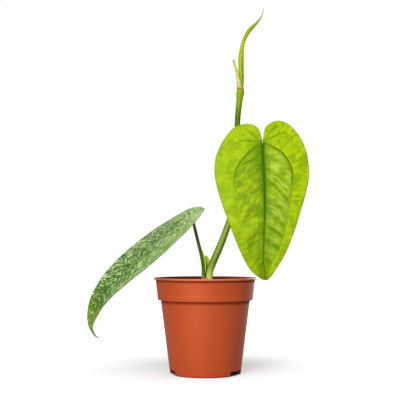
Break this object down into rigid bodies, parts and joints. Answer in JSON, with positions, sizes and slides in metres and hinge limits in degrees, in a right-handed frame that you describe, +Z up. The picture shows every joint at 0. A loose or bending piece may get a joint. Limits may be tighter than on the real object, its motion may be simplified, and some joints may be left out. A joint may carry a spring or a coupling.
{
  "type": "potted aroid house plant",
  "caption": "Young foliage plant in a round plastic nursery pot: bare climbing stem, broad heart-shaped leaf, mottled arching leaf and a rolled new leaf in its sheath.",
  "frame": {"origin": "on the pot's axis, at the pot's flat underside", "axes": "+Z up along the pot's axis, -Y to the front, which the heart-shaped leaf faces, and +X to the side of the heart-shaped leaf"},
  "size_m": [0.2575, 0.12, 0.4291],
  "materials": {
    "pot": "satin",
    "potting_mix": "matte",
    "roots": "matte",
    "main_stem": "satin",
    "mottled_leaf_stalk": "satin",
    "heart_leaf_stalk": "satin",
    "heart_leaf_blade": "satin",
    "mottled_leaf_blade": "satin",
    "new_leaf": "satin",
    "new_leaf_sheath": "satin",
    "base_bract": "satin"
  },
  "bodies": {
    "root": {"pot": "pot", "potting_mix": "potting_mix", "roots": "roots", "main_stem": "main_stem", "mottled_leaf_stalk": "mottled_leaf_stalk", "heart_leaf_stalk": "heart_leaf_stalk", "heart_leaf_blade": "heart_leaf_blade", "mottled_leaf_blade": "mottled_leaf_blade", "new_leaf": "new_leaf", "new_leaf_sheath": "new_leaf_sheath", "base_bract": "base_bract"}
  },
  "joints": []
}
